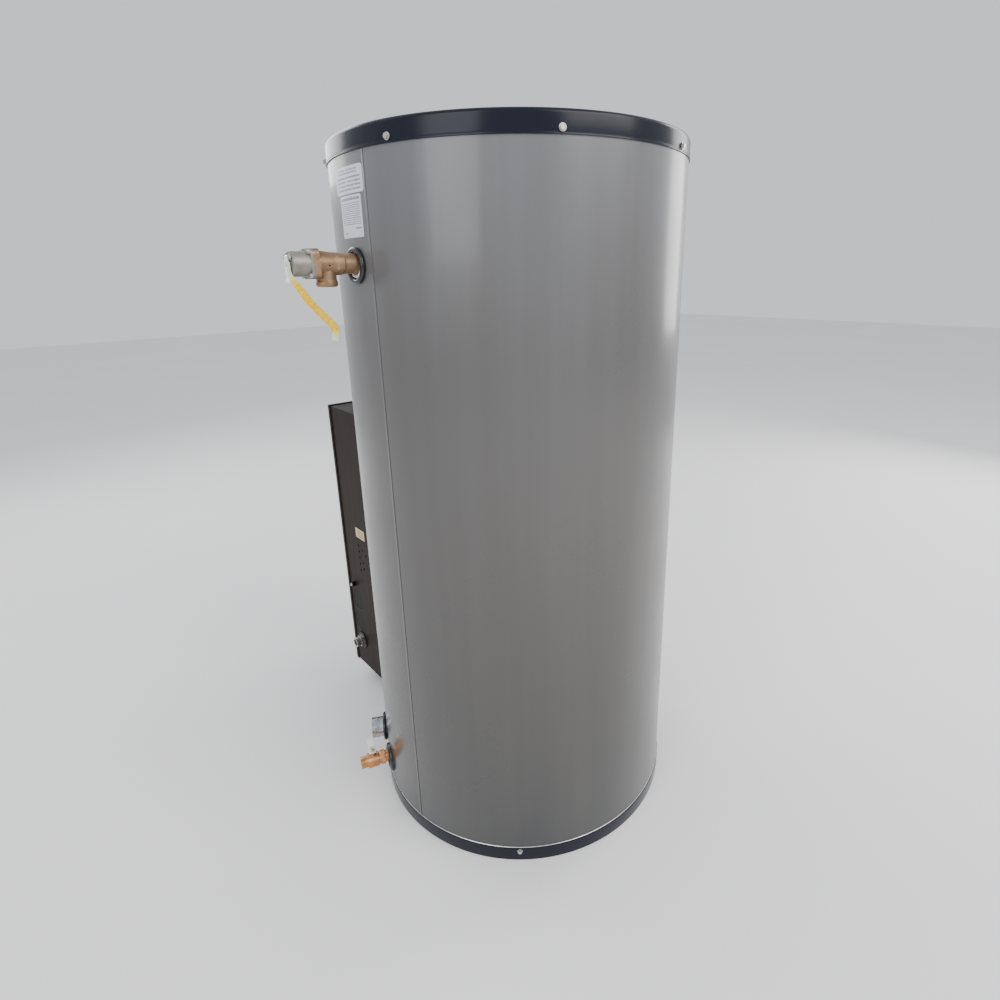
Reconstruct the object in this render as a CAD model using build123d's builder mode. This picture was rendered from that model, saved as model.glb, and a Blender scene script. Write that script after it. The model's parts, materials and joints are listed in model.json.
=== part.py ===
from build123d import *
import os
from math import cos, sin, radians, sqrt

os.makedirs("parts", exist_ok=True)

# ---------------------------------------------------------------- driving dimensions (mm, degrees)
# Vertical storage water heater. Origin on the floor at the tank's axis, +Z up,
# relief valve on +X, control cabinet on -Y.
jacket_r = 355.6          # 28 in jacket
jacket_t = 0.9
jacket_z0 = 12.0
jacket_z1 = 1450.0
seam_angle = 7.3          # start of the lap seam, whose free edge ends at 8.2 degrees
seam_arc = 0.9
seam_t = 0.6

cap_r = 357.8             # outer radius of the cap skirt and of the pan wall
sheet_t = 1.4
cap_z0 = 1420.8
cap_z1 = 1457.5
pan_z1 = 32.6

tank_r = 318.0            # steel vessel
tank_t = 4.0
tank_z0 = 1.6
tank_z1 = 1331.0
dome_h = 85.0

tp_angle = 0.0            # temperature and pressure relief valve
tp_z = 1243.5
tp_ring_z = 1240.0       # jacket hole and trim ring, a little below the valve's own axis
drain_angle = -17.5       # ball drain valve
drain_z = 90.0
drain_ring_z = 82.5
inlet_angle = -29.0       # 1-1/2 in side inlet nipple
inlet_z = 117.0
nipple_r = 24.15          # 1-1/2 in pipe
nipple_bore_r = 19.5
outlet_x, outlet_y = -150.0, 40.0

cab_w = 384.0             # control cabinet, outside of the box
cab_front = -588.0        # front edge of the box
cab_z0, cab_z1 = 51.0, 874.0
cab_t = 1.5
door_out = 1.0            # gap between the box and the door's returns
door_t = 1.5
door_front = -592.0
door_depth = 12.0
hinge_x, hinge_y = -199.0, -578.0
ko_y = -535.0             # knockouts in the cabinet's side
ko_z = (280.0, 208.5)
ko_r = 31.4
conn_z = 139.0
element_z = (230.0, 450.0, 670.0)
therm_angle = -90.0
therm_z, limit_z = 340.0, 560.0
# service openings in the jacket behind the cabinet: width, height, centre height
access = [(124.0, 124.0, z) for z in element_z] + [(64.0, 92.0, therm_z), (64.0, 72.0, limit_z)]


def radial(angle, r, z):
    """Plane at radius r facing outwards: local x is tangent, local y is up."""
    c, s = cos(radians(angle)), sin(radians(angle))
    return Plane(origin=(r * c, r * s, z), x_dir=(-s, c, 0), z_dir=(c, s, 0))


def section(angle):
    """Half plane through the tank's axis: local x is radius, local y is height."""
    c, s = cos(radians(angle)), sin(radians(angle))
    return Plane(origin=(0, 0, 0), x_dir=(c, s, 0), z_dir=(s, -c, 0))


def facing_y(x, y, z):
    """Plane facing -Y: local x is +X, local y is +Z."""
    return Plane(origin=(x, y, z), x_dir=(1, 0, 0), z_dir=(0, -1, 0))


def facing_x(x, y, z):
    """Plane facing +X: local x is +Y, local y is +Z."""
    return Plane(origin=(x, y, z), x_dir=(0, 1, 0), z_dir=(1, 0, 0))


def save(name, builder):
    builder.part.label = name
    export_step(builder.part, f"parts/{name}.step")


dome_R = (tank_r ** 2 + dome_h ** 2) / (2 * dome_h)


def dome_z(r, top):
    return top - dome_R + sqrt(dome_R ** 2 - r ** 2)


cap_screw_angles = [18.2 + 45 * i for i in range(8)]
pan_screw_angles = [48.0 + 90 * i for i in range(4)]
# ---------------------------------------------------------------- jacket, cap and pan
with BuildPart() as jacket:
    with BuildSketch(Plane.XY.offset(jacket_z0)):
        Circle(jacket_r)
        Circle(jacket_r - jacket_t, mode=Mode.SUBTRACT)
    extrude(amount=jacket_z1 - jacket_z0)
    with BuildSketch(section(seam_angle)):
        with Locations((jacket_r + seam_t / 2 - 0.1, (jacket_z0 + jacket_z1) / 2)):
            Rectangle(seam_t + 0.2, jacket_z1 - jacket_z0)
    revolve(axis=Axis.Z, revolution_arc=seam_arc)
    for angle, z, r in ((tp_angle, tp_ring_z, 25.0), (drain_angle, drain_ring_z, 23.5), (inlet_angle, inlet_z, 28.0)):
        with BuildSketch(radial(angle, jacket_r - 25, z)):
            Circle(r)
        extrude(amount=50, mode=Mode.SUBTRACT)
    for w, h, z in access:
        with Locations((0, -jacket_r, z)):
            Box(w, 60, h, mode=Mode.SUBTRACT)
    for angle in cap_screw_angles:
        with BuildSketch(radial(angle, jacket_r - 10, 1430)):
            Circle(2.2)
        extrude(amount=20, mode=Mode.SUBTRACT)
    for angle in pan_screw_angles:
        with BuildSketch(radial(angle, jacket_r - 10, 25.5)):
            Circle(2.2)
        extrude(amount=20, mode=Mode.SUBTRACT)
save("jacket", jacket)

with BuildPart() as top_cap:
    with BuildSketch(section(0)) as cap_profile:
        with BuildLine():
            Polyline((cap_r, cap_z0), (cap_r, cap_z1), (346.5, cap_z1), (342.5, 1454.0), (0, 1454.0),
                     (0, 1452.6), (343.1, 1452.6), (347.1, cap_z1 - 1.4), (cap_r - 1.4, cap_z1 - 1.4),
                     (cap_r - 1.4, cap_z0), close=True)
        make_face()
        fillet(cap_profile.vertices().sort_by_distance((cap_r, cap_z1))[0], radius=4.5)
        fillet(cap_profile.vertices().sort_by_distance((cap_r - 1.4, cap_z1 - 1.4))[0], radius=3.1)
    revolve(axis=Axis.Z)
    with BuildSketch(Plane.XY.offset(1440)):
        with Locations((outlet_x, outlet_y)):
            Circle(nipple_r + 1.2)
    extrude(amount=30, mode=Mode.SUBTRACT)
    for angle in cap_screw_angles:
        with BuildSketch(radial(angle, cap_r - 10, 1430)):
            Circle(2.2)
        extrude(amount=20, mode=Mode.SUBTRACT)
save("top_cap", top_cap)

with BuildPart() as bottom_pan:
    with BuildSketch(section(0)) as pan_profile:
        with BuildLine():
            Polyline((0, 0), (cap_r, 0), (cap_r, pan_z1), (cap_r - 1.4, pan_z1), (cap_r - 1.4, 1.5),
                     (0, 1.5), close=True)
        make_face()
        fillet(pan_profile.vertices().sort_by_distance((cap_r, 0))[0], radius=1.2)
    revolve(axis=Axis.Z)
    for angle in pan_screw_angles:
        with BuildSketch(radial(angle, cap_r - 10, 25.5)):
            Circle(2.2)
        extrude(amount=20, mode=Mode.SUBTRACT)
save("bottom_pan", bottom_pan)


with BuildPart() as jacket_screws:
    # hex washer-head sheet-metal screws through the cap skirt and the pan wall
    for angle, z in [(a, 1430.0) for a in cap_screw_angles] + [(a, 25.5) for a in pan_screw_angles]:
        with BuildSketch(radial(angle, cap_r + 0.02, z)):
            Circle(6.0)
        extrude(amount=1.3)
        with BuildSketch(radial(angle, cap_r + 1.1, z)):
            RegularPolygon(radius=4.6, side_count=6)
        extrude(amount=3.6)
        with BuildSketch(radial(angle, cap_r + 0.2, z)):
            Circle(2.0)
        extrude(amount=-3.4)
save("jacket_screws", jacket_screws)

# ---------------------------------------------------------------- pressure vessel
with BuildPart() as tank_shell:
    with BuildSketch(Plane.XY.offset(tank_z0)):
        Circle(tank_r)
        Circle(tank_r - tank_t, mode=Mode.SUBTRACT)
    extrude(amount=tank_z1 - tank_z0)
    # welded spuds: relief valve, drain, inlet and the three element ports
    for angle, z, r, top in ((tp_angle, tp_z, 23.0, 342.0), (drain_angle, drain_z, 19.5, 344.0),
                             (inlet_angle, inlet_z, 33.0, 344.0)):
        with BuildSketch(radial(angle, 313.4, z)):
            Circle(r)
        extrude(amount=top - 313.4)
    for z in element_z:
        with BuildSketch(radial(-90, 312.5, z)):
            RectangleRounded(90, 90, 8)
        extrude(amount=331.0 - 312.5)
    for angle, z, r in ((tp_angle, tp_z, 16.7), (drain_angle, drain_z, 13.4), (inlet_angle, inlet_z, 23.75)):
        with BuildSketch(radial(angle, 300, z)):
            Circle(r)
        extrude(amount=50, mode=Mode.SUBTRACT)
    for z in element_z:
        with BuildSketch(radial(-90, 300, z)):
            Circle(27)
            with GridLocations(64, 64, 2, 2):
                Circle(4.1)
        extrude(amount=40, mode=Mode.SUBTRACT)
save("tank_shell", tank_shell)

with BuildPart() as tank_top_head:
    head_top = tank_z1 + tank_t + dome_h
    with BuildSketch(section(0)):
        with BuildLine():
            ThreePointArc((0, head_top), (160, dome_z(160, head_top)), (tank_r, head_top - dome_h))
            Line((tank_r, head_top - dome_h), (tank_r, tank_z1))
            ThreePointArc((tank_r, tank_z1), (160, dome_z(160, head_top) - tank_t), (0, head_top - tank_t))
            Line((0, head_top - tank_t), (0, head_top))
        make_face()
    revolve(axis=Axis.Z)
    with BuildSketch(Plane.XY.offset(1370)):
        with Locations((outlet_x, outlet_y)):
            Circle(23.75)
        with Locations((110, -90)):
            Circle(13.4)
    extrude(amount=60, mode=Mode.SUBTRACT)
save("tank_top_head", tank_top_head)

bottom_rim = tank_r - tank_t - 0.3
bottom_R = (bottom_rim ** 2 + 60 ** 2) / (2 * 60)
with BuildPart() as tank_bottom_head:
    with BuildSketch(section(0)):
        with BuildLine():
            ThreePointArc((0, 105), (160, 105 - bottom_R + sqrt(bottom_R ** 2 - 160 ** 2)), (bottom_rim, 45))
            Line((bottom_rim, 45), (bottom_rim, 41))
            ThreePointArc((bottom_rim, 41), (160, 101 - bottom_R + sqrt(bottom_R ** 2 - 160 ** 2)), (0, 101))
            Line((0, 101), (0, 105))
        make_face()
    revolve(axis=Axis.Z)
save("tank_bottom_head", tank_bottom_head)

with BuildPart() as insulation:
    foam_r = jacket_r - jacket_t - 0.2
    with BuildSketch(section(0)):
        with BuildLine():
            Polyline((0, 1452.2), (foam_r - 13, 1452.2), (foam_r, 1449.5), (foam_r, 34), (tank_r + 0.3, 34),
                     (tank_r + 0.3, head_top - dome_h + 0.6))
            ThreePointArc((tank_r + 0.3, head_top - dome_h + 0.6), (160, dome_z(160, head_top) + 0.8),
                          (0, head_top + 0.6))
            Line((0, head_top + 0.6), (0, 1452.2))
        make_face()
    revolve(axis=Axis.Z)
    for angle, z, r in ((tp_angle, tp_z, 23.4), (drain_angle, drain_z, 20.0), (inlet_angle, inlet_z, 33.5)):
        with BuildSketch(radial(angle, 300, z)):
            Circle(r)
        extrude(amount=80, mode=Mode.SUBTRACT)
    for w, h, z in access:
        with Locations((0, -jacket_r, z)):
            Box(w, 140, h, mode=Mode.SUBTRACT)
    with BuildSketch(Plane.XY.offset(1380)):
        with Locations((outlet_x, outlet_y)):
            Circle(nipple_r + 0.6)
        with Locations((110, -90)):
            Circle(22)
    extrude(amount=90, mode=Mode.SUBTRACT)
save("insulation", insulation)

with BuildPart() as anode_rod:
    ax_, ay_ = 110, -90
    with BuildSketch(Plane.XY.offset(420)):
        with Locations((ax_, ay_)):
            Circle(11)
    extrude(amount=985 - 0)
    with BuildSketch(Plane.XY.offset(1386)):
        with Locations((ax_, ay_)):
            Circle(13.3)
    extrude(amount=32)
    with BuildSketch(Plane.XY.offset(1417.9)):
        with Locations((ax_, ay_)):
            RegularPolygon(radius=15.5, side_count=6)
    extrude(amount=13)
save("anode_rod", anode_rod)

# ---------------------------------------------------------------- water connections
with BuildPart() as outlet_nipple:
    with BuildSketch(Plane.XY.offset(1388)):
        with Locations((outlet_x, outlet_y)):
            Circle(23.65)
    extrude(amount=67)
    with BuildSketch(Plane.XY.offset(1455)):
        with Locations((outlet_x, outlet_y)):
            Circle(nipple_r)
    extrude(amount=27)
    with BuildSketch(Plane.XY.offset(1388)):
        with Locations((outlet_x, outlet_y)):
            Circle(nipple_bore_r)
    extrude(amount=94, mode=Mode.SUBTRACT)
save("outlet_nipple", outlet_nipple)

with BuildPart() as inlet_nipple:
    with BuildSketch(radial(inlet_angle, 316, inlet_z)):
        Circle(23.65)
    extrude(amount=49)
    with BuildSketch(radial(inlet_angle, 365, inlet_z)):
        Circle(nipple_r)
    extrude(amount=27)
    with BuildSketch(radial(inlet_angle, 316, inlet_z)):
        Circle(nipple_bore_r)
    extrude(amount=76, mode=Mode.SUBTRACT)
save("inlet_nipple", inlet_nipple)

with BuildPart() as inlet_diffuser:
    # plastic tube inside the vessel that spreads the incoming water
    with BuildSketch(radial(inlet_angle, 215, inlet_z)):
        Circle(22.5)
    extrude(amount=100.6)
    with BuildSketch(radial(inlet_angle, 217.5, inlet_z)):
        Circle(19.5)
    extrude(amount=98.1, mode=Mode.SUBTRACT)
    for i in range(4):
        with BuildSketch(Plane.XY.offset(inlet_z + 10)):
            r_ = 232 + 18 * i
            with Locations((r_ * cos(radians(inlet_angle)), r_ * sin(radians(inlet_angle)))):
                Circle(4)
        extrude(amount=20, mode=Mode.SUBTRACT)
save("inlet_diffuser", inlet_diffuser)


def escutcheon(angle, z, r_in, r_out, proud):
    """Moulded ring that covers the cut edge of the jacket around a pipe."""
    with BuildPart() as ring:
        ax = Axis(radial(angle, jacket_r, z).origin, radial(angle, jacket_r, z).z_dir)
        p = radial(angle, jacket_r, z)
        profile = Plane(origin=p.origin, x_dir=p.y_dir, z_dir=p.x_dir)
        # local x is up (distance from the pipe's axis), local y is outwards
        sgn = 1.0 if profile.y_dir.dot(p.z_dir) > 0 else -1.0
        with BuildSketch(profile):
            with BuildLine():
                Polyline((r_in, -3.0 * sgn), (r_in, proud * 0.55 * sgn))
                ThreePointArc((r_in, proud * 0.55 * sgn), (r_in + (r_out - r_in) * 0.34, proud * sgn),
                              (r_out, 0.9 * sgn))
                Polyline((r_out, 0.9 * sgn), (r_out, -3.0 * sgn), (r_in, -3.0 * sgn))
            make_face()
        revolve(axis=ax)
        # back face follows the jacket
        with BuildSketch(Plane.XY.offset(z - 80)):
            Circle(jacket_r)
        extrude(amount=160, mode=Mode.SUBTRACT)
        # the sleeve that passes through the jacket
    return ring


for name, angle, z, r_in, r_out, proud in (("tp_escutcheon", tp_angle, tp_ring_z, 22.6, 30.8, 7.5),
                                           ("drain_escutcheon", drain_angle, drain_ring_z, 21.6, 33.0, 7.0),
                                           ("inlet_escutcheon", inlet_angle, inlet_z, 25.5, 32.0, 8.0)):
    ring = escutcheon(angle, z, r_in, r_out, proud)
    save(name, ring)

# ---------------------------------------------------------------- relief valve, axis along +X
tp_axis = Axis((0, 0, tp_z), (1, 0, 0))
tp_out_x = 414.5
with BuildPart() as tp_body:
    with BuildSketch(Plane.XZ):
        with BuildLine():
            Polyline((318, tp_z), (318, tp_z + 16.6), (352, tp_z + 16.6), (352, tp_z + 17.4), (384, tp_z + 17.4),
                     (388, tp_z + 18.9), (406, tp_z + 19.4), (420, tp_z + 21.0), (431, tp_z + 22.0),
                     (431, tp_z), close=True)
        make_face()
    revolve(axis=tp_axis)
    with BuildSketch(radial(0, 430, tp_z)):
        RectangleRounded(41, 49, 9)
    extrude(amount=11)
    with BuildSketch(Plane.XY.offset(tp_z - 35)):
        with Locations((tp_out_x, 0)):
            Circle(17.0)
    extrude(amount=35)
    # outlet collar with a rounded lower edge
    with BuildSketch(Plane.XZ):
        with BuildLine():
            Polyline((tp_out_x, tp_z - 28), (tp_out_x + 17.2, tp_z - 28), (tp_out_x + 18.3, tp_z - 29.5),
                     (tp_out_x + 18.3, tp_z - 33.5), (tp_out_x + 17.5, tp_z - 36), (tp_out_x + 16.0, tp_z - 37.4),
                     (tp_out_x + 14.4, tp_z - 38), (tp_out_x, tp_z - 38), close=True)
        make_face()
    revolve(axis=Axis((tp_out_x, 0, 0), (0, 0, 1)))
    # raised blank pad on the side
    with BuildSketch(Plane(origin=(386, 0, tp_z), x_dir=(0, 1, 0), z_dir=(1, 0, 0))):
        Circle(20.4)
        Circle(17.0, mode=Mode.SUBTRACT)
        with Locations((15, 1)):
            Rectangle(26, 23, mode=Mode.INTERSECT)
    extrude(amount=13)
    # waterway, seat, chamber, outlet thread, weep hole and screw holes
    with BuildSketch(radial(0, 317, tp_z)):
        Circle(11)
    extrude(amount=90, mode=Mode.SUBTRACT)
    with BuildSketch(radial(0, 402, tp_z)):
        Circle(15.5)
    extrude(amount=45, mode=Mode.SUBTRACT)
    with BuildSketch(Plane.XY.offset(tp_z - 38)):
        with Locations((tp_out_x, 0)):
            Circle(13.2)
    extrude(amount=18, mode=Mode.SUBTRACT)
    with BuildSketch(Plane.XY.offset(tp_z - 21)):
        with Locations((tp_out_x, 0)):
            Circle(9.5)
    extrude(amount=21, mode=Mode.SUBTRACT)
    with BuildSketch(Plane(origin=(414, 12, tp_z - 3.5), x_dir=(-1, 0, 0), z_dir=(0, 1, 0))):
        Circle(1.4)
    extrude(amount=12, mode=Mode.SUBTRACT)
    with BuildSketch(radial(0, 429, tp_z)):
        with GridLocations(32.4, 38.4, 2, 2):
            Circle(2.1)
    extrude(amount=14, mode=Mode.SUBTRACT)
save("tp_body", tp_body)

with BuildPart() as tp_bonnet:
    with BuildSketch(radial(0, 441, tp_z)):
        RectangleRounded(41, 49, 9)
    extrude(amount=5.0)
    with BuildSketch(radial(0, 445, tp_z)):
        Circle(20.5)
    extrude(amount=30.6)
    fillet(tp_bonnet.faces().filter_by(Axis.X).sort_by(Axis.X)[-1].edges(), radius=1.6)
    with BuildSketch(radial(0, 440, tp_z)):
        Circle(17.2)
    extrude(amount=31.5, mode=Mode.SUBTRACT)
    # slot in the end wall for the lever's curl
    with Locations((476.0, 0, tp_z + 11)):
        Box(9, 17, 10, mode=Mode.SUBTRACT)
        Box(6, 28, 7, mode=Mode.SUBTRACT)
    with BuildSketch(radial(0, 440, tp_z)):
        Circle(4.6)
        with GridLocations(32.4, 38.4, 2, 2):
            Circle(2.1)
    extrude(amount=40, mode=Mode.SUBTRACT)
    # two ears that hold the lever's pin
    for side in (-1, 1):
        with BuildSketch(Plane(origin=(0, side * 10.2, 0), x_dir=(1, 0, 0), z_dir=(0, -1, 0))):
            with BuildLine():
                Polyline((469, tp_z + 5), (469, tp_z + 17), (476, tp_z + 17), (480.5, tp_z + 13.5),
                         (480.5, tp_z + 7.5), (476, tp_z + 5), close=True)
            make_face()
        extrude(amount=0.9, both=True)
    with BuildSketch(Plane(origin=(0, 0, 0), x_dir=(1, 0, 0), z_dir=(0, -1, 0))):
        with Locations((476.5, tp_z + 11)):
            Circle(1.5)
    extrude(amount=14, both=True, mode=Mode.SUBTRACT)
save("tp_bonnet", tp_bonnet)

with BuildPart() as tp_poppet:
    with BuildSketch(radial(0, 402.2, tp_z)):
        Circle(13.6)
    extrude(amount=4)
    with BuildSketch(radial(0, 406, tp_z)):
        Circle(7)
    extrude(amount=5)
    with BuildSketch(radial(0, 410, tp_z)):
        Circle(3.6)
    extrude(amount=61.5)
save("tp_poppet", tp_poppet)

with BuildPart() as tp_spring:
    # open coil spring around the stem
    with BuildLine() as coil:
        Helix(pitch=7.0, height=49, radius=9.6, center=(413.0, 0, tp_z), direction=(1, 0, 0))
    with BuildSketch(Plane(origin=coil.line @ 0, z_dir=coil.line % 0)):
        Circle(1.2)
    sweep(path=coil.line)
save("tp_spring", tp_spring)

with BuildPart() as tp_probe:
    # temperature probe that reaches into the vessel
    with BuildSketch(radial(0, 175, tp_z)):
        Circle(5.0)
    extrude(amount=170)
    with BuildSketch(radial(0, 340, tp_z)):
        Circle(10.9)
        Circle(8.2, mode=Mode.SUBTRACT)
    extrude(amount=5)
    with BuildSketch(radial(0, 341, tp_z)):
        Rectangle(19, 3)
        Rectangle(3, 19)
    extrude(amount=3)
save("tp_probe", tp_probe)

with BuildPart() as tp_screws:
    for dy in (-16.2, 16.2):
        for dz in (-19.2, 19.2):
            with BuildSketch(Plane(origin=(446.1, dy, tp_z + dz), x_dir=(0, 1, 0), z_dir=(1, 0, 0))):
                RegularPolygon(radius=4.0, side_count=6)
            extrude(amount=3.4)
            with BuildSketch(Plane(origin=(431, dy, tp_z + dz), x_dir=(0, 1, 0), z_dir=(1, 0, 0))):
                Circle(2.0)
            extrude(amount=18)
save("tp_screws", tp_screws)

lever_px, lever_pz = 476.5, tp_z + 11
with BuildPart() as tp_lever_pin:
    with BuildSketch(Plane(origin=(lever_px, 11.6, lever_pz), x_dir=(1, 0, 0), z_dir=(0, -1, 0))):
        Circle(1.45)
    extrude(amount=23.2)
    with BuildSketch(Plane(origin=(lever_px, 12.6, lever_pz), x_dir=(1, 0, 0), z_dir=(0, -1, 0))):
        Circle(2.6)
    extrude(amount=1.3)
save("tp_lever_pin", tp_lever_pin)

with BuildPart() as tp_lever:
    # flat test lever across the end of the bonnet, with a curl around its pin
    with BuildSketch(Plane(origin=(0, 0, 0), x_dir=(1, 0, 0), z_dir=(0, -1, 0))):
        with BuildLine():
            Polyline((478.6, lever_pz + 1), (480.4, lever_pz + 1), (480.4, tp_z - 22), (483.6, tp_z - 29),
                     (482.0, tp_z - 30), (478.6, tp_z - 23), close=True)
        make_face()
    extrude(amount=7.5, both=True)
    with BuildSketch(Plane(origin=(0, 0, 0), x_dir=(1, 0, 0), z_dir=(0, -1, 0))):
        with Locations((lever_px, lever_pz)):
            Circle(3.6)
    extrude(amount=7.5, both=True)
    with BuildSketch(Plane(origin=(0, 0, 0), x_dir=(1, 0, 0), z_dir=(0, -1, 0))):
        with Locations((lever_px, lever_pz)):
            Circle(1.52)
    extrude(amount=20, both=True, mode=Mode.SUBTRACT)
    with BuildSketch(radial(0, 476, tp_z - 2)):
        Circle(2.4)
    extrude(amount=10, mode=Mode.SUBTRACT)
save("tp_lever", tp_lever)

with BuildPart() as tp_tag:
    # flexible strip tag that hangs from the lever and leans back beside the outlet
    tag_turn = radians(21)
    tag_plane = Plane(origin=(477.2, 8.6, 0), x_dir=(-cos(tag_turn), sin(tag_turn), 0), z_dir=(-sin(tag_turn), -cos(tag_turn), 0))
    up = 1.0 if tag_plane.y_dir.Z > 0 else -1.0
    edge_a = ((0.8, 1246.0), (0.7, 1235.0), (0.8, 1227.0), (4.6, 1218.6), (17.4, 1202.2), (30.6, 1183.5), (48.4, 1162.8), (60.7, 1147.8), (66.2, 1133.8), (63.8, 1119.5))
    edge_b = ((-6.0, 1246.0), (-5.8, 1231.4), (-2.3, 1217.4), (7.7, 1197.1), (20.6, 1176.1), (38.9, 1154.8), (50.3, 1141.1), (53.8, 1132.7), (51.6, 1121.8))
    with BuildSketch(tag_plane):
        with BuildLine():
            side_a = Spline(*[(x, z * up) for x, z in edge_a])
            side_b = Spline(*[(x, z * up) for x, z in edge_b])
            Line(side_a @ 0, side_b @ 0)
            Line(side_a @ 1, side_b @ 1)
        make_face()
    extrude(amount=-0.8)
save("tp_tag", tp_tag)

# ---------------------------------------------------------------- ball drain valve, axis radial
dc, ds = cos(radians(drain_angle)), sin(radians(drain_angle))
stem_r = 399.0
sx, sy = stem_r * dc, stem_r * ds
drain_pt = radial(drain_angle, 0, drain_z)
drain_axis = Axis(drain_pt.origin, drain_pt.z_dir)
with BuildPart() as drain_body:
    with BuildSketch(radial(drain_angle, 318, drain_z)):
        Circle(13.3)
    extrude(amount=53)
    with BuildSketch(radial(drain_angle, 370, drain_z)):
        RegularPolygon(radius=17.0, side_count=6)
    extrude(amount=12)
    with BuildSketch(radial(drain_angle, 381, drain_z)):
        Circle(14.2)
    extrude(amount=6)
    with BuildSketch(radial(drain_angle, 386, drain_z)):
        Circle(17.2)
    extrude(amount=26)
    with BuildSketch(radial(drain_angle, 411, drain_z)):
        Circle(13.5)
    extrude(amount=17)
    # stem tower
    with BuildSketch(Plane.XY.offset(drain_z)):
        with Locations((sx, sy)):
            Circle(8.2)
    extrude(amount=23.5)
    # waterway
    with BuildSketch(radial(drain_angle, 317, drain_z)):
        Circle(8.5)
    extrude(amount=115, mode=Mode.SUBTRACT)
    # ball pocket
    with BuildSketch(radial(drain_angle, stem_r - 10.6, drain_z)):
        Circle(13.0)
    extrude(amount=21.2, mode=Mode.SUBTRACT)
    with BuildSketch(Plane.XY.offset(drain_z)):
        with Locations((sx, sy)):
            Circle(4.06)
    extrude(amount=30, mode=Mode.SUBTRACT)
save("drain_body", drain_body)

with BuildPart() as drain_ball:
    with Locations((sx, sy, drain_z)):
        Sphere(11.5)
    with BuildSketch(Plane.XY.offset(drain_z + 5)):
        with Locations((sx, sy)):
            Circle(4.0)
    extrude(amount=29)
    # port across the flow while closed
    with BuildSketch(Plane(origin=(sx - 20 * ds * -1, sy - 20 * dc, drain_z), x_dir=(dc, ds, 0), z_dir=(-ds, dc, 0))):
        Circle(7.0)
    extrude(amount=40, mode=Mode.SUBTRACT)
save("drain_ball", drain_ball)

with BuildPart() as drain_seats:
    for r0 in (stem_r - 10.5, stem_r + 8.1):
        with BuildSketch(radial(drain_angle, r0, drain_z)):
            Circle(12.9)
            Circle(9.2, mode=Mode.SUBTRACT)
        extrude(amount=2.4)
    with Locations((sx, sy, drain_z)):
        Sphere(11.56, mode=Mode.SUBTRACT)
save("drain_seats", drain_seats)

with BuildPart() as drain_handle:
    # bent strap lever on the stem, pointing across the flow while closed
    hp = Plane(origin=(sx, sy, drain_z + 25.2), x_dir=(ds, -dc, 0), z_dir=(dc, ds, 0))
    # local x points along the closed handle, local y is -Z or +Z
    up = 1.0 if hp.y_dir.Z > 0 else -1.0
    with BuildSketch(hp):
        with BuildLine():
            Polyline((-8.5, 0), (8.4, 0), (13, 7.5 * up), (23, 17.5 * up), (21.2, 19.3 * up), (10.8, 9.2 * up),
                     (7.0, 2.6 * up), (-8.5, 2.6 * up), close=True)
        make_face()
    extrude(amount=7.8, both=True)
    with BuildSketch(Plane.XY.offset(drain_z + 20)):
        with Locations((sx, sy)):
            Circle(4.2)
    extrude(amount=12, mode=Mode.SUBTRACT)
save("drain_handle", drain_handle)

with BuildPart() as drain_nut:
    with BuildSketch(Plane.XY.offset(drain_z + 27.9)):
        with Locations((sx, sy)):
            RegularPolygon(radius=7.0, side_count=6)
            Circle(4.05, mode=Mode.SUBTRACT)
    extrude(amount=4.4)
save("drain_nut", drain_nut)

# ---------------------------------------------------------------- control cabinet
cab_zc = (cab_z0 + cab_z1) / 2
cab_h = cab_z1 - cab_z0
with BuildPart() as cabinet_box:
    with Locations((0, (cab_front - 299.5) / 2, cab_zc)):
        Box(cab_w, -299.5 - cab_front, cab_h)
    with BuildSketch(Plane.XY.offset(cab_z0 - 5)):
        Circle(jacket_r + 0.5)
    extrude(amount=cab_h + 10, mode=Mode.SUBTRACT)
    with Locations((0, (cab_front - 10 - 200) / 2, cab_zc)):
        Box(cab_w - 2 * cab_t, -200 - cab_front + 10, cab_h - 2 * cab_t, mode=Mode.SUBTRACT)
    # front returns that the door closes on
    with BuildSketch(facing_y(0, cab_front + 1.5, cab_zc)):
        Rectangle(cab_w, cab_h)
        Rectangle(cab_w - 24, cab_h - 24, mode=Mode.SUBTRACT)
    extrude(amount=1.5)
    # knockouts, connector hole, side knob hole and the group of small holes
    with BuildSketch(facing_x(cab_w / 2 - 4, ko_y, 0)):
        for z in ko_z:
            with Locations((0, z)):
                Circle(ko_r)
        with Locations((0, conn_z)):
            Circle(14.5)
        with Locations((-12, 330)):
            Circle(3.3)
        for y, z in ((-495, 474), (-494.5, 455), (-473, 465), (-494.5, 435), (-454, 454), (-493.5, 415.5),
                     (-473, 425), (-495, 394), (-474, 404.5)):
            with Locations((y - ko_y, z)):
                Circle(3.4)
        with Locations((-452 - ko_y, 838)):
            Circle(1.8)
        with Locations((-455 - ko_y, 567)):
            Circle(1.8)
    extrude(amount=10, mode=Mode.SUBTRACT)
save("cabinet_box", cabinet_box)

with BuildPart() as knockout_discs:
    for z in ko_z:
        with BuildSketch(facing_x(cab_w / 2 - 1.9, ko_y, z)):
            Circle(ko_r - 0.5)
        extrude(amount=1.4)
save("knockout_discs", knockout_discs)

door_w = cab_w + 2 * (door_out + door_t)
door_h = cab_h + 2 * (door_out + door_t)
with BuildPart() as cabinet_door:
    with Locations((0, door_front + door_depth / 2, cab_zc)):
        Box(door_w, door_depth, door_h)
    fillet(cabinet_door.faces().sort_by(Axis.Y)[0].edges(), radius=1.4)
    with Locations((0, door_front + door_t + door_depth / 2, cab_zc)):
        Box(door_w - 2 * door_t, door_depth, door_h - 2 * door_t, mode=Mode.SUBTRACT)
    with BuildSketch(facing_y(182, door_front + 5, 752)):
        Circle(3.1)
    extrude(amount=10, mode=Mode.SUBTRACT)
save("cabinet_door", cabinet_door)

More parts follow.
